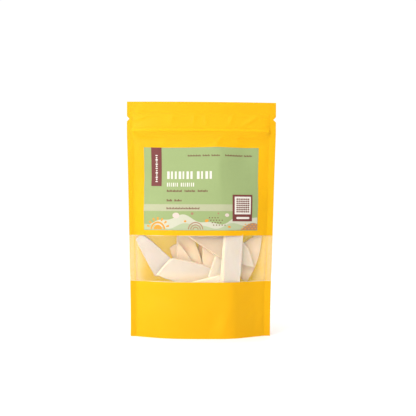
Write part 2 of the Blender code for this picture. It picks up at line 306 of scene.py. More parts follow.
def softly_below(height):
    """What of a height is below zero, with a rounded start."""
    return (height - np.sqrt(height ** 2 + CREASE_ROUND ** 2)) / 2


def crease(side, z):
    """A soft ridge, and beside it straight ways down to the seals in place of the round ones."""
    rows = np.array(CREASE).T
    at, width, right, left = [np.interp(z / MM, rows[0], row) for row in rows[1:]]
    at, width, middle, power = at * MM, width * MM, belly(z), section_power(z)
    rounded = middle * (1 - (np.minimum(np.abs(side), INSIDE) / INSIDE) ** power)
    top = middle * (1 - (at / INSIDE) ** power)
    past = blend(at - width, at + width, side)
    down_right = softly_below(top * (INSIDE - side) / (INSIDE - at) - rounded) * right * past
    down_left = softly_below(top * (INSIDE + side) / (INSIDE + at) - rounded) * left * (1 - past)
    ridge = RIDGE_SLOPE * (np.minimum(np.sqrt((side - at) ** 2 + width ** 2), RIDGE_REACH) - RIDGE_LEVEL)
    fade = blend(0.0, 20.0 * MM, INSIDE - np.abs(side)) * blend(0.0, 9.0 * MM, middle)
    inside = np.abs(side) < INSIDE
    return (down_right + down_left) * inside - ridge * fade


def front_relief(side, z):
    return relief(side, z, FRONT_FOLDS, 1.0) + crease(side, z)


def back_relief(side, z):
    return relief(side, z, BACK_FOLDS, 20.0)


def settled(points):
    """Bends the whole bag as it stands."""
    x, z = points[..., 0], points[..., 2]
    bent = points.copy()
    bent[..., 1] += HEAD_BOW * (x / INSIDE) ** 2 * blend(*HEAD_RISE, z)
    low = 1 - blend(*FOOT_RISE, z)
    bent[..., 0] *= 1 - FOOT_DRAW * low
    bent[..., 1] -= CORNER_LEAN * blend(*CORNER_REACH, -x) * low
    return bent


# Meshes

def spread(*stops):
    """Values from the first stop to the last. Between two stops stands the step that fills the gap."""
    values = [stops[0]]
    for step, end in zip(stops[1::2], stops[2::2]):
        count = max(1, round((end - values[-1]) / step))
        values += list(np.linspace(values[-1], end, count + 1)[1:])
    return np.array(values) * MM


def film_columns(half):
    """Sides from seal to seal, closer together near the seals."""
    right = spread(0.0, 1.2, 54.0, 0.8, INSIDE / MM, 1.0, half)
    return np.concatenate([-right[:0:-1], right])


def notched(side, z):
    """Draws the film's outer columns in at the tear notches."""
    edge = BAG_WIDTH / 2 - np.maximum(0.0, NOTCH_DEPTH - np.abs(z - NOTCH_HEIGHT))
    drawn = (edge - NOTCH_FROM) / (BAG_WIDTH / 2 - NOTCH_FROM)
    out = np.maximum(0.0, np.abs(side) - NOTCH_FROM) * drawn
    return np.copysign(np.minimum(np.abs(side), NOTCH_FROM) + out, side)


def link(name, mesh):
    mesh.shade_smooth()
    made = bpy.data.objects.new(name, mesh)
    bpy.context.scene.collection.objects.link(made)
    return made


def set_uv(mesh, name, flat):
    """Stores one pair for each vertex as a UV map."""
    layer = mesh.uv_layers.new(name=name)
    index = np.empty(len(mesh.loops), np.int32)
    mesh.loops.foreach_get("vertex_index", index)
    layer.data.foreach_set("uv", flat.reshape(-1, 2)[index].astype(np.float32).ravel())


def grid_quads(rows, columns):
    corner = np.arange(rows * columns).reshape(rows, columns)
    return np.stack([corner[:-1, :-1], corner[:-1, 1:], corner[1:, 1:], corner[1:, :-1]], -1).reshape(-1, 4)


def grid_mesh(name, points, side, z):
    """A sheet of quads over an array of points (rows, columns, 3). Its UV map is flat, in decimetres."""
    mesh = bpy.data.meshes.new(name)
    mesh.from_pydata(settled(points).reshape(-1, 3).tolist(), [], grid_quads(*points.shape[:2]).tolist())
    set_uv(mesh, "flat", np.stack([side, z], axis=-1) / DM)
    return mesh


def thicken(made, thickness):
    """Makes a sheet a thin solid with sharp edges."""
    index = np.empty(len(made.data.loops), np.int32)
    made.data.loops.foreach_get("edge_index", index)
    outer = np.bincount(index, minlength=len(made.data.edges)) == 1
    attributes = made.data.attributes
    sharp = attributes.get("sharp_edge") or attributes.new("sharp_edge", "BOOLEAN", "EDGE")
    sharp.data.foreach_set("value", outer)
    modifier = made.modifiers.new("thickness", "SOLIDIFY")
    modifier.thickness = thickness
    modifier.offset = -1.0
    modifier.use_quality_normals = True


def dress(made, finish, slot, *nodes):
    """Gives a piece its finish, hangs it on the root body, and hides the solids that it stands for."""
    made.data.materials.append(finish)
    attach(made, "root")
    if nodes:
        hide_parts(*nodes)
    return made


def film_piece(name, rows, relief_of, finish, slot, node, behind=False):
    """A stretch of film between its rows. Behind, it is turned half round the bag's middle."""
    side, z = np.meshgrid(film_columns(BAG_WIDTH / 2 / MM), rows)
    side = notched(side, z)
    points = lifted(side, z, FILM + relief_of(side, z))
    if behind:
        points[..., :2] *= -1
    made = link(name, grid_mesh(name, points, side, z))
    thicken(made, FILM)
    return dress(made, finish, slot, node)


def build_films(yellow, yellow_behind, clear, edge):
    """The front film's three stretches and the back film. The clear film's first and last rows of
    faces are the edge of the print."""
    low, high = WINDOW_BOTTOM / MM, WINDOW_TOP / MM
    zip_low, zip_high = ZIP_HEIGHT / MM - 6, ZIP_HEIGHT / MM + 6
    notch, top = NOTCH_HEIGHT / MM, BAG_HEIGHT / MM
    upper = (high, 1.3, zip_low, 0.5, zip_high, 0.3, notch + 2, 1.0, top)
    film_piece("front_film_lower_skin", spread(0.0, 1.2, low), front_relief, yellow, "yellow_film",
               "front_film_lower")
    film_piece("front_film_upper_skin", spread(*upper), front_relief, yellow, "yellow_film",
               "front_film_upper")
    seam, row = 0.02, 0.4
    low_row, high_row = low + seam + row, high - seam - row
    window_rows = spread(low + seam, row, low_row, 1.2, high_row, row, high - seam)
    window = film_piece("window_film_skin", window_rows, front_relief, clear, "clear_film", "window_film")
    window.data.materials.append(edge)
    columns = len(film_columns(BAG_WIDTH / 2 / MM)) - 1
    last = len(window.data.polygons) - columns
    for polygon in window.data.polygons:
        if polygon.index < columns or polygon.index >= last:
            polygon.material_index = 1
    film_piece("back_film_skin", spread(0.0, 1.3, *upper[2:]), back_relief, yellow_behind, "yellow_film",
               "back_film", behind=True)


def build_gusset(yellow):
    """The folded floor, and its turned-down rims that line the films. Its rows run from -3 at the back
    rim's foot, over 0 at the ridge, to 3 at the front rim's foot, and the rims start at -2 and 2."""
    half = GUSSET_HALF / MM
    rows = [np.linspace(-3, -2, 8), np.linspace(-2, 2, 41)[1:-1], np.linspace(2, 3, 8)]
    side, row = np.meshgrid(spread(-half, 1.5, half), np.concatenate(rows))
    z_seal = seal_height(side)
    z_ridge = GUSSET_RIDGE + (GUSSET_CORNER - GUSSET_RIDGE) * (side / INSIDE) ** 2
    skirt = np.abs(row) >= 2
    across = np.minimum(np.abs(row) / 2, 1.0)
    arched = z_seal + np.maximum(z_ridge - z_seal, 0) * (1 - across ** ARCH_POWER)
    z = np.where(skirt, z_seal * (3 - np.abs(row)), arched)
    at = np.where(skirt, z, z_seal)
    x, y = face(side, at)
    drawn = np.where(row > 0, front_relief(side, at), back_relief(-side, at))
    y = np.minimum(y + GUSSET_ROOM - drawn, 0.0) * across
    crumple = MM * waves(side, row * 9 * MM, CRUMPLE, 40.0) * (1 - across ** 2)
    points = np.stack([x, np.copysign(1, row) * y, z + crumple], axis=-1)
    made = link("gusset_film_skin", grid_mesh("gusset_film_skin", points, side, z))
    thicken(made, FILM)
    dress(made, yellow, "yellow_film", "gusset_film")


# The label

# Its layout, in mm on the flat film. Its left edge reaches a little further than the solid's, and the
# frieze keeps a narrow border.
LABEL_LEFT = -LABEL_HALF / MM - 0.5
LABEL_BORDER = 0.4
# The band's bottom and top, and the tab's left, right and bottom
BAND = (109.0, 114.8)
TAB = (-44.5, -35.2, 130.6)
BEADS_SIDE = -39.8
BEADS_TOP = 157.4
BEADS_PITCH = 1.9
# Left, right, bottom and top of the panel, and of the field of dots on it
PANEL = (26.8, 45.0, 100.3, 123.3)
FIELD = (28.7, 43.5, 106.4, 121.6)
FIRST_DOT = (30.9, 108.6)
DOT_PITCH = (1.74, 1.8)
# Left, right, middle and height of the bar under the field, and of each row of blocks
PANEL_BAR = (30.2, 42.4, 103.2, 1.8)
LARGE_ROWS = [(-30.3, -6.2, 140.2, 6.6), (-4.0, 10.6, 140.2, 6.6)]
MEDIUM_ROWS = [(-30.3, -19.8, 131.9, 3.4), (-18.0, -5.6, 131.9, 3.4)]
SMALL_ROWS = [
    (-12.0, -0.5, 157.4, 1.5), (1.0, 7.2, 157.4, 1.5), (8.6, 16.0, 157.4, 1.5),
    (20.4, 36.0, 157.4, 1.5), (37.4, 45.0, 157.4, 1.5),
    (-30.3, -16.6, 126.5, 1.9), (-14.6, -5.2, 126.5, 1.9), (-3.2, 5.4, 126.5, 1.9),
    (-30.3, -25.2, 118.3, 1.9), (-23.4, -17.1, 118.3, 1.9), (-30.3, -1.4, 111.4, 1.7),
]
# The frieze's sun and arcs
SUN_SIDE = -38.0
ARCS_SIDE = -5.0
ARC_RADII = (2.2, 4.2, 6.2)
QUARTER_TURN = math.pi / 2


def area(left, right, bottom, top, layer):
    """A patch of the label between two sides and two heights, which may be functions of the side."""
    low = bottom if callable(bottom) else lambda side: np.full_like(side, bottom)
    high = top if callable(top) else lambda side: np.full_like(side, top)
    sides = np.linspace(left, right, max(2, math.ceil(right - left) + 1))
    tallest = float(np.max(high(sides) - low(sides)))
    shares = np.linspace(0, 1, max(2, math.ceil(tallest) + 1))[:, None]
    side = np.broadcast_to(sides, (len(shares), len(sides)))
    return side, low(sides) + (high(sides) - low(sides)) * shares, layer


def oval(side, z, half_width, half_height, layer, turn=0.0):
    """An ellipse whose width is turned from level by some degrees."""
    at = np.linspace(-QUARTER_TURN, QUARTER_TURN, 13)
    u = np.broadcast_to(half_width * np.sin(at), (7, 13))
    v = half_height * np.cos(at) * np.linspace(-1, 1, 7)[:, None]
    c, s = math.cos(math.radians(turn)), math.sin(math.radians(turn))
    return side + u * c - v * s, z + u * s + v * c, layer


def bar(left, right, middle, height, layer):
    """A bar with round ends."""
    half = height / 2
    turn = np.linspace(0, QUARTER_TURN, 5)
    straight = np.linspace(left + half, right - half, max(2, math.ceil(right - left)))
    sides = np.concatenate([left + half - half * np.cos(turn), straight[1:-1],
                            right - half + half * np.sin(turn)])
    off = np.maximum(0, np.maximum(left + half - sides, sides - right + half)) / half
    rise = half * np.sqrt(np.maximum(0.0, 1 - off ** 2))
    shares = np.linspace(-1, 1, max(3, math.ceil(height) + 1))[:, None]
    return np.broadcast_to(sides, (len(shares), len(sides))), middle + rise * shares, layer


def blocks(left, right, middle, height, layer, filled=0.66):
    """A row of plain upright blocks, a little uneven in width. About the share filled of its length is
    ink, and in the small rows only every third block has the full height."""
    count = round((right - left) / (0.55 * height))
    pitch = (right - left) / count
    row = []
    for i in range(count):
        start = left + pitch * i
        width = pitch * (filled + 0.12 * math.sin(2.4 * i + left))
        top = middle + height * (0.5 if height > 3 or i % 3 == 0 else 0.22)
        row.append(area(start, start + width, middle - height / 2, top, layer))
    return row


def arc(side, z, radius, width, start, end, layer):
    """A curved stripe about a middle, between two angles in degrees."""
    turn = np.radians(np.linspace(end, start, max(3, math.ceil(radius * math.radians(end - start)) + 1)))
    radii = np.linspace(radius - width / 2, radius + width / 2, max(2, math.ceil(width) + 1))[:, None]
    return side + radii * np.cos(turn), z + radii * np.sin(turn), layer


def printed(name, patches, finish):
    """One ink: all its patches on the label, as thin closed shapes in one piece."""
    merged = bmesh.new()
    for side, z, layer in patches:
        side, z = side * MM, z * MM
        points = lifted(side, z, LABEL_LIFT + LABEL_PAPER + layer * INK + front_relief(side, z))
        patch = grid_mesh("patch", points, side, z)
        merged.from_mesh(patch)
        bpy.data.meshes.remove(patch)
    bmesh.ops.remove_doubles(merged, verts=merged.verts, dist=0.001 * MM)
    mesh = bpy.data.meshes.new(name)
    merged.to_mesh(mesh)
    merged.free()
    made = link(name, mesh)
    thicken(made, INK * 0.8)
    return dress(made, finish, "label_paper")


def wave(level, *swells):
    """An edge that rises and falls: each swell is (height, side of its crest, length from crest to crest)."""
    def height(side):
        out = np.full_like(side, level)
        for rise, crest, length in swells:
            out = out + rise * np.cos(2 * math.pi * (side - crest) / length)
        return out
    return height


def build_label(papers):
    right, low, high = LABEL_HALF / MM, LABEL_BOTTOM / MM, LABEL_TOP / MM
    side, z = np.meshgrid(spread(LABEL_LEFT, 1.0, right), spread(low, 1.0, high))
    points = lifted(side, z, LABEL_LIFT + LABEL_PAPER + front_relief(side, z))
    label = link("label_sheet", grid_mesh("label_sheet", points, side, z))
    thicken(label, LABEL_PAPER)
    dress(label, papers["green"], "label_paper", "front_label")
    build_print(papers, high)
    build_picture(papers, LABEL_LEFT + LABEL_BORDER, right - LABEL_BORDER, low + LABEL_BORDER)


def build_print(papers, high):
    """A band, a tab with beads, a panel with a field of dots and a bar, and rows of blocks."""
    printed("label_band", [area(LABEL_LEFT, PANEL[0], *BAND, 1)], papers["band"])
    printed("label_maroon", [area(*PANEL, 2), area(*TAB, high - 0.05, 2)], papers["maroon"])
    beads = [oval(BEADS_SIDE, BEADS_TOP - BEADS_PITCH * i, 1.1 - 0.4 * (i % 2), 0.5 + 0.15 * (i % 3), 3)
             for i in range(13)]
    white_rows = [block for rows, filled in ((LARGE_ROWS, 0.52), (MEDIUM_ROWS, 0.44))
                  for row in rows for block in blocks(*row, 1, filled)]
    printed("label_white", [area(*FIELD, 3), bar(*PANEL_BAR, 3), *beads, *white_rows], papers["white"])
    dots = [oval(FIRST_DOT[0] + DOT_PITCH[0] * i, FIRST_DOT[1] + DOT_PITCH[1] * j, 0.76, 0.72, 4)
            for i in range(7) for j in range(7)]
    brown_rows = [block for row in SMALL_ROWS for block in blocks(*row, 2)]
    printed("label_brown", dots + brown_rows, papers["brown"])


def build_picture(papers, left, right, low):
    """A plain frieze of hills, a low sun, arcs, seeds and dots along the label's foot."""
    far = wave(101.4, (3.4, -18, 58), (1.4, 8, 23))
    near = wave(96.4, (2.0, 30, 40), (0.8, 4, 21))
    hill = wave(92.9, (6.0, 46.0, 46))
    printed("label_cream", [area(left, right, low, lambda s: np.maximum(far(s), low + 1.5), 1)],
            papers["cream"])
    printed("label_pale_green", [area(left, right, low, lambda s: np.maximum(near(s), low + 0.4), 2)],
            papers["pale_green"])
    printed("label_tan", [
        area(31.0, right, low, lambda s: np.maximum(hill(s), low + 0.3), 3),
        oval(-8.0, 106.8, 1.2, 1.2, 3), oval(14.5, 107.0, 0.8, 0.8, 3),
        *[arc(ARCS_SIDE, low + 0.2, radius, 0.9, 3, 177, 3) for radius in ARC_RADII],
    ], papers["tan"])
    sun = (SUN_SIDE, low + 0.3)
    rays = [arc(*sun, 9.2, 2.6, turn - 4.5, turn + 4.5, 3) for turn in range(18, 180, 24)]
    on_hill = [oval(35.5 + 3.3 * i + 1.6 * (j % 2), 93.9 + 1.9 * j, 0.7, 0.55, 4)
               for j in range(3) for i in range(j > 1, 5)]
    printed("label_orange", [
        arc(*sun, 6.0, 1.5, 2, 178, 3), arc(*sun, 2.2, 3.6, 2, 178, 3), *rays, *on_hill,
        oval(4.6, 100.8, 1.7, 1.2, 3, 20), oval(-14.0, 100.2, 1.0, 0.9, 3),
        oval(24.0, 95.5, 1.3, 0.9, 3, -15),
    ], papers["orange"])
    printed("label_pink", [oval(-22.0, 105.2, 3.0, 2.4, 2), oval(22.0, 105.6, 1.8, 1.5, 2)], papers["pink"])
    seeds = [(10.5 + 2.4 * i - 1.2 * j, 97.0 + 2.1 * j) for j in range(4) for i in range(5 - j % 2)]
    printed("label_seeds", [oval(u, v, 0.5, 0.5, 3) for u, v in seeds], papers["brown"])


# The slices, as in the solids but for the outlines of 03 and 05, in mm and degrees. Taper narrows a
# slice to one end, and barrel to both. Skew slants an end, and bulge rounds it. Bow and twist bend the
# faces. Lean turns the slice about the line of sight, and yaw and pitch turn it out of the film's plane.
# Each rim says how far the cut slants in from the back face to the front face, at the slice's two ends.
SLICES = {
    "01": dict(at=(26.3, -10.8, 67.5), length=60, width=17.8, taper=-.04, thick=2.6, bow=-.6, twist=.7,
               lean=4.8, yaw=12, pitch=2.5, rim_left=(3.6, 0.5)),
    "02": dict(at=(4.8, -12.65, 43.3), length=28.5, width=16, taper=.1, thick=2.4, skew_bottom=-3,
               bulge_bottom=.5, bow=.3, lean=-107, yaw=7, pitch=1, rim_left=(1.2, 1.2)),
    "03": dict(at=(-12.3, -7.3, 55.6), length=43, width=21, taper=-.05, barrel=.14, skew_top=-4.2,
               skew_bottom=2, bulge_top=.3, bulge_bottom=.5, bow=-1.6, lean=-76, yaw=3, pitch=2, rim_top=1.2,
               rim_right=(0.9, 0.9)),
    "04": dict(at=(2.3, -8.0, 89.4), length=54, width=20, thick=2.6, skew_top=-5, lean=-55, yaw=3.5,
               pitch=4, rim_left=(0.9, 0.9)),
    "05": dict(at=(-41.0, -1.5, 70.0), length=43, width=16.8, taper=-.41, barrel=.1, thick=1.8,
               skew_bottom=-4, bulge_top=.6, bulge_bottom=3.5, bow=.3, lean=-38.5, yaw=-6,
               rim_left=(0.8, 0.8)),
    "06": dict(at=(16.5, -6.8, 59.0), length=26, width=16, thick=2.2, bulge_top=3, bow=.3, lean=20, yaw=6,
               pitch=8, rim_left=(1.0, 0.8)),
    "07": dict(at=(34.3, -3.7, 72.5), length=26, width=16, barrel=.45, thick=2.2, skew_bottom=-4,
               bulge_bottom=.5, bow=.3, lean=-30, yaw=3),
    "08": dict(at=(10.4, -2.5, 65.0), length=54, width=18.5, thick=2.6, skew_top=2, lean=-1.5),
    "09": dict(at=(41.0, -0.2, 67.0), length=38, width=17.5, taper=.35, barrel=.35, thick=2.0, skew_top=8,
               skew_bottom=-.5, bulge_top=.5, bulge_bottom=.3, bow=.3, lean=9, yaw=3),
    "10": dict(at=(-13.8, -1.1, 55.7), length=40, width=12.8, thick=2.6, skew_top=-8.5, lean=-3,
               rim_left=(0.6, 0.6)),
    "11": dict(at=(-12.0, 2.7, 73.5), length=44, width=19.5, taper=-.39, thick=2.6, lean=-9.8),
    "12": dict(at=(-17.2, 6.5, 63.4), length=34, width=12, thick=2.6, lean=-20),
    "13": dict(at=(6.5, 6.0, 66.0), length=62, width=19, thick=2.6, lean=4),
    "14": dict(at=(26.0, 2.4, 66.0), length=58, width=18, taper=.05, lean=2),
    "15": dict(at=(5.0, 10.3, 57.0), length=50, width=19, bow=.3, lean=-84),
    "16": dict(at=(6.0, 13.8, 55.0), length=46, width=18, thick=2.0, bow=.3, lean=4, pitch=-3),
}
PLAIN_SLICE = dict(taper=0, barrel=.06, thick=2.8, skew_top=0, skew_bottom=0, bulge_top=1.5,
                   bulge_bottom=1.5, bow=.8, twist=.3, lean=0, yaw=0, pitch=0, rim_left=(0.3, 0.3),
                   rim_right=(0.3, 0.3), rim_top=0.2)
# Each tone is a dark and a light colour, how much painted bounce light it gets towards the strip's lower
# edge, and the slices that have it. Besides the slices' own differences of tone, the tones hold painted
# light and shade: those that lie deeper are painted browner, for their shade and the bag's yellow light.
TONES = {
    "white": ((0.60, 0.525, 0.44), (0.65, 0.575, 0.495), 0.1, "01"),
    "pale": ((0.59, 0.50, 0.40), (0.64, 0.55, 0.455), 0.85, "03"),
    "dull": ((0.56, 0.47, 0.395), (0.60, 0.515, 0.445), 0.3, "05"),
    "cream": ((0.66, 0.565, 0.43), (0.71, 0.605, 0.475), 0.3, "06 07"),
    "light": ((0.85, 0.69, 0.52), (0.91, 0.75, 0.58), 0.0, "02"),
    "tan": ((0.54, 0.405, 0.285), (0.58, 0.445, 0.315), 0.0, "04"),
    "golden": ((0.71, 0.55, 0.37), (0.77, 0.60, 0.42), 0.85, "08 09 10 15 16"),
    "amber": ((0.88, 0.66, 0.43), (0.93, 0.72, 0.49), 0.3, "11 12"),
    "brown": ((0.97, 0.59, 0.28), (0.98, 0.64, 0.33), 0.3, "13 14"),
}
# The painted yellow bounce light at the slices' foot: what a colour is multiplied by where it is fullest,
# and the heights at which that starts and is full
PAINTED_BOUNCE_LIGHT = (1.27, 1.17, 0.90)
PAINTED_BOUNCE_FROM = 60.0 * MM
PAINTED_BOUNCE_AT = 47.0 * MM
# The cut edges' colour: partly their own chalky paleness, partly a painted highlight where light catches them
RIM_CHALK_AND_HIGHLIGHT = (0.84, 0.66, 0.44)
# The fibres' texture: its scale along the slice, and the size of its features
FIBRE_STRETCH = 0.16
FIBRE_SIZE = 0.09
# In mm, as the rest of a slice: the steps of its mesh, which are coarser in the slices after the last
# that shows, and the round of its edges
SLICE_STEP = 0.8
LAST_SHOWN = 12
SLICE_ROUND = 0.32
# How uneven a cut face is, as heights and lengths of its waves, how high its grain stands, and how far
# its sides are chipped
DRIED_LARGE = (0.34, 13.0)
DRIED_SMALL = (0.12, 4.5)
GRAIN_RISE = 0.05
CHIP_DEPTH = 0.28


def edged(half, step):
    """Places from -half to half, close together where the edge is rounded."""
    inner = half - SLICE_ROUND
    middle = np.linspace(-inner, inner, max(2, round(2 * inner / step)) + 1)
    edge = inner + SLICE_ROUND * np.sin(np.radians([30.0, 60.0, 90.0]))
    return np.concatenate([-edge[::-1], middle, edge])


def block(halves, step):
    """The points and faces of a box with rounded edges, and each point's place in it from -1 to 1."""
    shape = bmesh.new()
    stops = [edged(half, step) for half in halves]
    for normal in range(3):
        a, b = [(1, 2), (2, 0), (0, 1)][normal]
        u, v = np.meshgrid(stops[a], stops[b])
        for sign in (-1, 1):
            points = np.empty(u.shape + (3,))
            points[..., a], points[..., b] = u, v
            points[..., normal] = sign * halves[normal]
            made = [shape.verts.new(p) for p in points.reshape(-1, 3)]
            for quad in grid_quads(*u.shape):
                shape.faces.new([made[i] for i in (quad if sign > 0 else quad[::-1])])
    bmesh.ops.remove_doubles(shape, verts=shape.verts, dist=0.01)
    shape.verts.index_update()
    flat = np.array([v.co for v in shape.verts])
    faces = [[v.index for v in f.verts] for f in shape.faces]
    shape.free()
    core = np.clip(flat, -(np.array(halves) - SLICE_ROUND), np.array(halves) - SLICE_ROUND)
    out = flat - core
    out /= np.maximum(np.linalg.norm(out, axis=1), 1e-9)[:, None]
    return core + out * SLICE_ROUND, faces, flat / np.array(halves)


def noise_at(points, seed):
    """Smooth noise at some points, which differs from seed to seed."""
    return np.array([noise.noise((a, b, c + seed * 7.3)) for a, b, c in points])


def slice_points(spec, rounded, place, seed):
    """Bends a rounded block into the slice, as the solids do, and makes its cut faces uneven."""
    across, along, through = place.T
    to_top, to_bottom = np.maximum(along, 0.0), np.maximum(-along, 0.0)
    spread_out = 1 + spec.taper * along - spec.barrel * along ** 2
    up = rounded[:, 1]
    up = up + (spec.skew_top * across - spec.bulge_top * across ** 2) * to_top ** 3
    up = up + (spec.skew_bottom * across + spec.bulge_bottom * across ** 2) * to_bottom ** 3
    x = rounded[:, 0] * spread_out
    front = (1 + through) / 2
    for sign, (at_bottom, at_top) in ((-1, spec.rim_left), (1, spec.rim_right)):
        slant = at_bottom + (at_top - at_bottom) * (1 + along) / 2
        x = x - sign * slant * front * np.maximum(0, sign * across) ** 2
    up = up - spec.rim_top * front * to_top ** 4
    flat = np.stack([x, up, np.zeros_like(x)], axis=-1)
    dried = 0.0
    for more, (height, length) in enumerate((DRIED_LARGE, DRIED_SMALL)):
        dried = dried + height * noise_at(flat / length, seed + more)
    grain = GRAIN_RISE * noise_at(flat * [0.75, 0.10, 1] + [0, 0, through[0]], seed + 2)
    out = spec.bow * (along ** 2 - 0.5) + spec.twist * across * along + dried
    out = out + rounded[:, 2] * (1 - 0.12 * along ** 4) + np.sign(through) * grain
    chipped = noise_at(np.stack([along * 6, np.sign(across), through * 0.4], -1), seed + 3)
    x = x + CHIP_DEPTH * chipped * np.sign(across) * np.abs(across) ** 6
    return np.stack([x, -out, up], axis=-1) * MM, flat


def build_slice(number, finish):
    spec = SimpleNamespace(**{**PLAIN_SLICE, **SLICES[number]})
    step = SLICE_STEP if int(number) <= LAST_SHOWN else 3 * SLICE_STEP
    rounded, faces, place = block((spec.width / 2, spec.length / 2, spec.thick / 2), step)
    points, flat = slice_points(spec, rounded, place, int(number))
    turn = Euler([math.radians(a) for a in (-spec.pitch, spec.lean, spec.yaw)], "YXZ").to_matrix()
    points = points @ np.array(turn).T + np.array(spec.at) * MM
    name = "yam_slice_" + number
    mesh = bpy.data.meshes.new(name + "_skin")
    mesh.from_pydata(points.tolist(), [], faces)
    # 1 on the cut edges, and 0 on the two faces
    rim = 1 - blend(0.75, 0.98, np.abs(place[:, 2]))
    mesh.attributes.new("rim", "FLOAT", "POINT").data.foreach_set("value", rim.astype(np.float32))
    set_uv(mesh, "grain", flat[:, :2] / 10)
    dress(link(name + "_skin", mesh), finish, "dried_yam", name)


# Materials

class Finish:
    """A Principled material, and short ways to add the nodes that vary it."""

    def __init__(self, name, colour, roughness, **sockets):
        self.material = bpy.data.materials.new(name)
        self.material.use_nodes = True
        self.tree = self.material.node_tree
        self.shader = self.tree.nodes["Principled BSDF"]
        self.shader.inputs["Base Color"].default_value = (*colour, 1.0)
        self.shader.inputs["Roughness"].default_value = roughness
        for socket, value in sockets.items():
            self.shader.inputs[socket.replace("_", " ")].default_value = value
        self.place = self.tree.nodes.new("ShaderNodeTexCoord").outputs["Object"]
        self.material.diffuse_color = (*colour, 1.0)

    def noise(self, size, detail=2.0, place=None, rough=0.5):
        """Noise whose features are about size metres across."""
        node = self.tree.nodes.new("ShaderNodeTexNoise")
        node.inputs["Scale"].default_value = 0.5 / size
        node.inputs["Detail"].default_value = detail
        node.inputs["Roughness"].default_value = rough
        self.tree.links.new(place or self.place, node.inputs["Vector"])
        return node.outputs["Fac"]

    def ramp(self, value, low, high, out_low=0.0, out_high=1.0):
        """Goes smoothly from out_low to out_high while the value goes from low to high."""
        node = self.tree.nodes.new("ShaderNodeMapRange")
        node.interpolation_type = "SMOOTHSTEP"
        node.inputs["From Min"].default_value = low
        node.inputs["From Max"].default_value = high
        node.inputs["To Min"].default_value = out_low
        node.inputs["To Max"].default_value = out_high
        self.tree.links.new(value, node.inputs["Value"])
        return node.outputs["Result"]

    def math(self, operation, *values):
        node = self.tree.nodes.new("ShaderNodeMath")
        node.operation = operation
        for value, socket in zip(values, node.inputs):
            self.tree.links.new(value, socket)
        return node.outputs[0]

    def mix(self, share, first, second):
        """A colour between two others, each a socket or a plain colour."""
        node = self.tree.nodes.new("ShaderNodeMix")
        node.data_type = "RGBA"
        for value, socket in ((share, node.inputs[0]), (first, node.inputs[6]), (second, node.inputs[7])):
            if isinstance(value, bpy.types.NodeSocket):
                self.tree.links.new(value, socket)
            else:
                socket.default_value = (*value, 1.0)
        return node.outputs[2]

    def bump(self, height, depth, strength=1.0):
        """Adds fine relief on top of any that is there."""
        node = self.tree.nodes.new("ShaderNodeBump")
        node.inputs["Strength"].default_value = strength
        node.inputs["Distance"].default_value = depth
        self.tree.links.new(height, node.inputs["Height"])
        last = self.shader.inputs["Normal"]
        if last.is_linked:
            self.tree.links.new(last.links[0].from_socket, node.inputs["Normal"])
        self.tree.links.new(node.outputs["Normal"], last)

    def link(self, value, socket):
        self.tree.links.new(value, self.shader.inputs[socket])

    def flat(self):
        """The side and the height on the flat film, in decimetres."""
        flat = self.tree.nodes.new("ShaderNodeUVMap")
        flat.uv_map = "flat"
        parts = self.tree.nodes.new("ShaderNodeSeparateXYZ")
        self.tree.links.new(flat.outputs["UV"], parts.inputs["Vector"])
        return parts.outputs["X"], parts.outputs["Y"]

    def near_seal(self, side, low, high, most, ragged):
        """Rises from 0 to most towards the side seals, between two ragged lines."""
        uneven = self.ramp(self.noise(9 * MM, 4.0), 0.3, 0.7, -ragged, ragged)
        return self.ramp(self.math("ADD", self.math("ABSOLUTE", side), uneven), low, high, 0.0, most)

    def stripe(self, height, low, rise, high, fall):
        """1 from low to high, and 0 from rise below low and from fall above high."""
        rising = self.ramp(height, low - rise, low)
        falling = self.ramp(height, high, high + fall, 1.0, 0.0)
        return self.math("MULTIPLY", rising, falling)


# Stripes of height where the yellow film holds a painted highlight on the zip's track and a painted shade
# on its flange, and where it is painted darker by its side welds, all in decimetres on the flat film
TRACK_PAINTED_HIGHLIGHT = (1.792, 0.006, 1.802, 0.010)
FLANGE_PAINTED_SHADE = (1.735, 0.090, 1.780, 0.006)
WELD_SHADE_FROM = 0.57
WELD_SHADE_AT = 0.60
# Where the clear film grows hazier
HAZE_FROM = 0.46
HAZE_AT = 0.60


def yellow_film(name, colour, scattered, depth, weld):
    """A printed, matte film. The share scattered of the light goes in, by about depth. A painted highlight
    makes it paler along the zip's track and a painted shade a little darker along the flange, and beside the
    side seals it is painted darker, to the share weld of its colour, as shade."""
    finish = Finish(name, colour, 0.5, Specular_IOR_Level=0.12, Subsurface_Weight=scattered,
                    Subsurface_Radius=(0.9, 0.8, 0.1), Subsurface_Scale=depth)
    cloud = finish.noise(30 * MM, 3.0)
    red, green, blue = colour
    printed = finish.mix(cloud, (red, green * 0.975, blue), (red, green * 1.025, blue * 2))
    side, height = finish.flat()
    # Painted light and shade: a highlight stripe on the track, a shade stripe on the flange and shade by the
    # welds
    for share, part in ((finish.stripe(height, *TRACK_PAINTED_HIGHLIGHT), 1.07),
                        (finish.stripe(height, *FLANGE_PAINTED_SHADE), 0.95),
                        (finish.near_seal(side, WELD_SHADE_FROM, WELD_SHADE_AT, 1.0, 0.01), weld)):
        printed = finish.mix(share, printed, (red * part, green * part, blue))
    finish.link(printed, "Base Color")
    finish.link(finish.ramp(finish.noise(8 * MM, 4.0), 0.3, 0.7, 0.44, 0.56), "Roughness")
    finish.bump(finish.noise(0.5 * MM, 3.0), 0.012 * MM)
    return finish.material


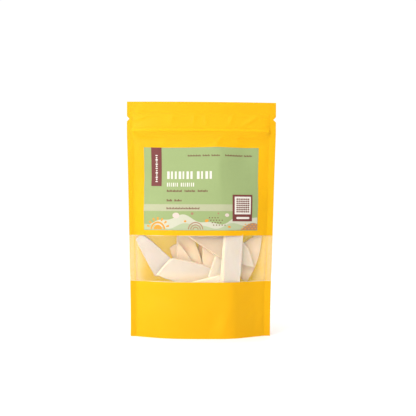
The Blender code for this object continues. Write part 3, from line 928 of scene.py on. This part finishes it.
def clear_film():
    """A frosted film. It looks paler where it touches the back film, near the side seals."""
    finish = Finish("clear_film_frosted", (0.80, 0.77, 0.66), 0.5, Alpha=0.07, Specular_IOR_Level=0.3)
    haze = finish.ramp(finish.noise(14 * MM, 3.0), 0.3, 0.7, 0.04, 0.07)
    touching = finish.near_seal(finish.flat()[0], HAZE_FROM, HAZE_AT, 0.10, 0.035)
    finish.link(finish.math("ADD", touching, haze), "Alpha")
    finish.bump(finish.noise(0.6 * MM, 3.0), 0.01 * MM)
    return finish.material


def print_edge():
    """The soft edge of the print along the clear strip."""
    finish = Finish("clear_film_edge", (0.84, 0.74, 0.52), 0.5, Alpha=0.3)
    finish.link(finish.ramp(finish.noise(9 * MM), 0.35, 0.65, 0.1, 0.5), "Alpha")
    return finish.material


def dried_yam(name, dark, light, painted_bounce):
    """Chalky cut yam: faint fibres along the slice, cloudy colour, cut edges that are paler and partly a
    painted highlight, and a foot painted warmer with yellow bounce light.
    """
    finish = Finish(name, light, 0.9, Subsurface_Weight=0.8, Subsurface_Radius=(1.0, 0.5, 0.25),
                    Subsurface_Scale=0.0014, Specular_IOR_Level=0.2)
    grain = finish.tree.nodes.new("ShaderNodeUVMap")
    grain.uv_map = "grain"
    stretch = finish.tree.nodes.new("ShaderNodeMapping")
    stretch.inputs["Scale"].default_value = (1.0, FIBRE_STRETCH, 1.0)
    finish.tree.links.new(grain.outputs["UV"], stretch.inputs["Vector"])
    fibres = finish.noise(FIBRE_SIZE, 4.0, stretch.outputs["Vector"])
    mottle = finish.noise(7 * MM, 4.0)
    rim = finish.tree.nodes.new("ShaderNodeAttribute")
    rim.attribute_name = "rim"
    body = finish.mix(finish.ramp(mottle, 0.3, 0.7), dark, light)
    streaked = finish.mix(finish.ramp(fibres, 0.42, 0.75, 0.0, 0.35), body, [c * 1.1 for c in light])
    parts = finish.tree.nodes.new("ShaderNodeSeparateXYZ")
    finish.tree.links.new(finish.place, parts.inputs["Vector"])
    # Painted light: the foot is painted warmer, for the yellow light that the film below throws on it
    foot = finish.ramp(parts.outputs["Z"], PAINTED_BOUNCE_AT, PAINTED_BOUNCE_FROM, painted_bounce, 0.0)
    bounce_painted = finish.mix(foot, streaked, [min(c * share, 0.98) for c, share in zip(light, PAINTED_BOUNCE_LIGHT)])
    # Painted highlight, in part: the cut edges are mixed towards the paler rim colour
    rim_chalk_and_highlight_share = finish.ramp(rim.outputs["Fac"], 0.0, 1.0, 0.0, 0.7)
    finish.link(finish.mix(rim_chalk_and_highlight_share, bounce_painted, RIM_CHALK_AND_HIGHLIGHT), "Base Color")
    finish.bump(fibres, 0.05 * MM, 0.6)
    finish.bump(finish.noise(0.7 * MM, 5.0, rough=0.65), 0.06 * MM)
    return finish.material


def paper(name, colour):
    """Coated label paper: a fine tooth, and ink that isn't quite even."""
    finish = Finish(name, colour, 0.5, Specular_IOR_Level=0.2)
    darker = tuple(c * 0.94 for c in colour)
    finish.link(finish.mix(finish.noise(1.2 * MM, 5.0), darker, colour), "Base Color")
    finish.bump(finish.noise(0.35 * MM, 3.0), 0.006 * MM)
    return finish.material


def label_papers():
    colours = {
        "green": (0.268, 0.338, 0.138), "cream": (0.50, 0.49, 0.37), "band": (0.39, 0.395, 0.245),
        "pale_green": (0.37, 0.42, 0.25), "maroon": (0.150, 0.036, 0.032), "white": (0.66, 0.62, 0.55),
        "brown": (0.150, 0.048, 0.034), "tan": (0.34, 0.19, 0.115), "orange": (0.64, 0.27, 0.03),
        "pink": (0.60, 0.49, 0.42),
    }
    return {name: paper("label_" + name + "_print", colour) for name, colour in colours.items()}


# Camera and light

def build_camera():
    data = bpy.data.cameras.new("camera")
    data.sensor_width = CAMERA_SENSOR
    data.lens = CAMERA_LENS
    camera = bpy.data.objects.new("camera", data)
    bpy.context.scene.collection.objects.link(camera)
    yaw = Matrix.Rotation(math.radians(-CAMERA_YAW), 4, "Z")
    pitch = Matrix.Rotation(math.radians(90 + CAMERA_PITCH), 4, "X")
    roll = Matrix.Rotation(math.radians(CAMERA_ROLL), 4, "Z")
    camera.matrix_world = Matrix.Translation(CAMERA_PLACE) @ yaw @ pitch @ roll
    bpy.context.scene.camera = camera


def area_light(name, place, size, power):
    data = bpy.data.lights.new(name, "AREA")
    data.shape = "DISK"
    data.size = size
    data.energy = power
    light = bpy.data.objects.new(name, data)
    light.location = place
    light.rotation_euler = (Vector(LIGHTS_AIM) - light.location).to_track_quat("-Z", "Y").to_euler()
    light.visible_camera = False
    bpy.context.scene.collection.objects.link(light)


def build_world():
    """A white room that gives the more light, the nearer a direction is to the soft light's."""
    world = bpy.data.worlds.new("studio")
    world.use_nodes = True
    tree = world.node_tree
    light, output = tree.nodes["Background"], tree.nodes["World Output"]
    place = tree.nodes.new("ShaderNodeTexCoord")
    towards = tree.nodes.new("ShaderNodeVectorMath")
    towards.operation = "DOT_PRODUCT"
    towards.inputs[1].default_value = Vector(ROOM_LIGHT).normalized()
    strength = tree.nodes.new("ShaderNodeMapRange")
    for socket, value in zip(("From Min", "From Max", "To Min", "To Max"), (-1.0, 1.0, *ROOM_STRENGTH)):
        strength.inputs[socket].default_value = value
    white = tree.nodes.new("ShaderNodeBackground")
    seen = tree.nodes.new("ShaderNodeLightPath")
    either = tree.nodes.new("ShaderNodeMixShader")
    for start, end in ((place.outputs["Generated"], towards.inputs[0]),
                       (towards.outputs["Value"], strength.inputs["Value"]),
                       (strength.outputs["Result"], light.inputs["Strength"]),
                       (seen.outputs["Is Camera Ray"], either.inputs[0]),
                       (light.outputs[0], either.inputs[1]), (white.outputs[0], either.inputs[2]),
                       (either.outputs[0], output.inputs["Surface"])):
        tree.links.new(start, end)
    light.inputs["Color"].default_value = white.inputs["Color"].default_value = (1.0, 1.0, 1.0, 1.0)
    white.inputs["Strength"].default_value = BACKDROP_STRENGTH
    bpy.context.scene.world = world


def build_studio():
    build_world()
    bpy.context.scene.view_settings.view_transform = "Standard"
    area_light("key", KEY_PLACE, KEY_SIZE, KEY_POWER)
    area_light("back", BACK_PLACE, BACK_SIZE, BACK_POWER)

    mesh = bpy.data.meshes.new("floor")
    corners = [(x * FLOOR_HALF, y * FLOOR_HALF, 0) for x, y in ((-1, -1), (1, -1), (1, 1), (-1, 1))]
    mesh.from_pydata(corners, [], [(0, 1, 2, 3)])
    mesh.materials.append(Finish("floor_paper", FLOOR_COLOUR, 0.9).material)
    link("floor", mesh)


def build_zip():
    """The zip's strips lie between the films, and bend as the head of the bag does."""
    finish = Finish("zip_strip_plastic", (0.74, 0.50, 0.06), 0.35)
    finish.bump(finish.noise(1.5 * MM), 0.01 * MM)
    for name in ("zip_groove_strip", "zip_rib_strip"):
        strip = bmesh.new()
        strip.from_mesh(NODES[name].data)
        for x in spread(-50.0, 5.0, 50.0):
            bmesh.ops.bisect_plane(strip, geom=[*strip.verts, *strip.edges, *strip.faces],
                                   plane_co=(x, 0, 0), plane_no=(1, 0, 0), dist=1e-7)
        for vertex in strip.verts:
            vertex.co = settled(np.array(vertex.co))
        mesh = bpy.data.meshes.new(name + "_bent")
        strip.to_mesh(mesh)
        strip.free()
        made = link(name + "_bent", mesh)
        mesh.shade_flat()
        mesh.materials.clear()
        dress(made, finish.material, "zip_plastic", name)


def main():
    build_camera()
    build_studio()
    # weld is the share of its colour that each film keeps by the side welds: painted shade
    front = yellow_film("yellow_film_front", (0.72, 0.37, 0.001), scattered=0.3, depth=0.6 * MM, weld=0.97)
    back = yellow_film("yellow_film_back", (0.92, 0.39, 0.001), scattered=0.75, depth=2.5 * MM, weld=0.72)
    build_films(front, back, clear_film(), print_edge())
    build_gusset(front)
    build_label(label_papers())
    for tone, (dark, light, painted_bounce, numbers) in TONES.items():
        finish = dried_yam("dried_yam_" + tone, dark, light, painted_bounce)
        for number in numbers.split():
            build_slice(number, finish)
    build_zip()


main()
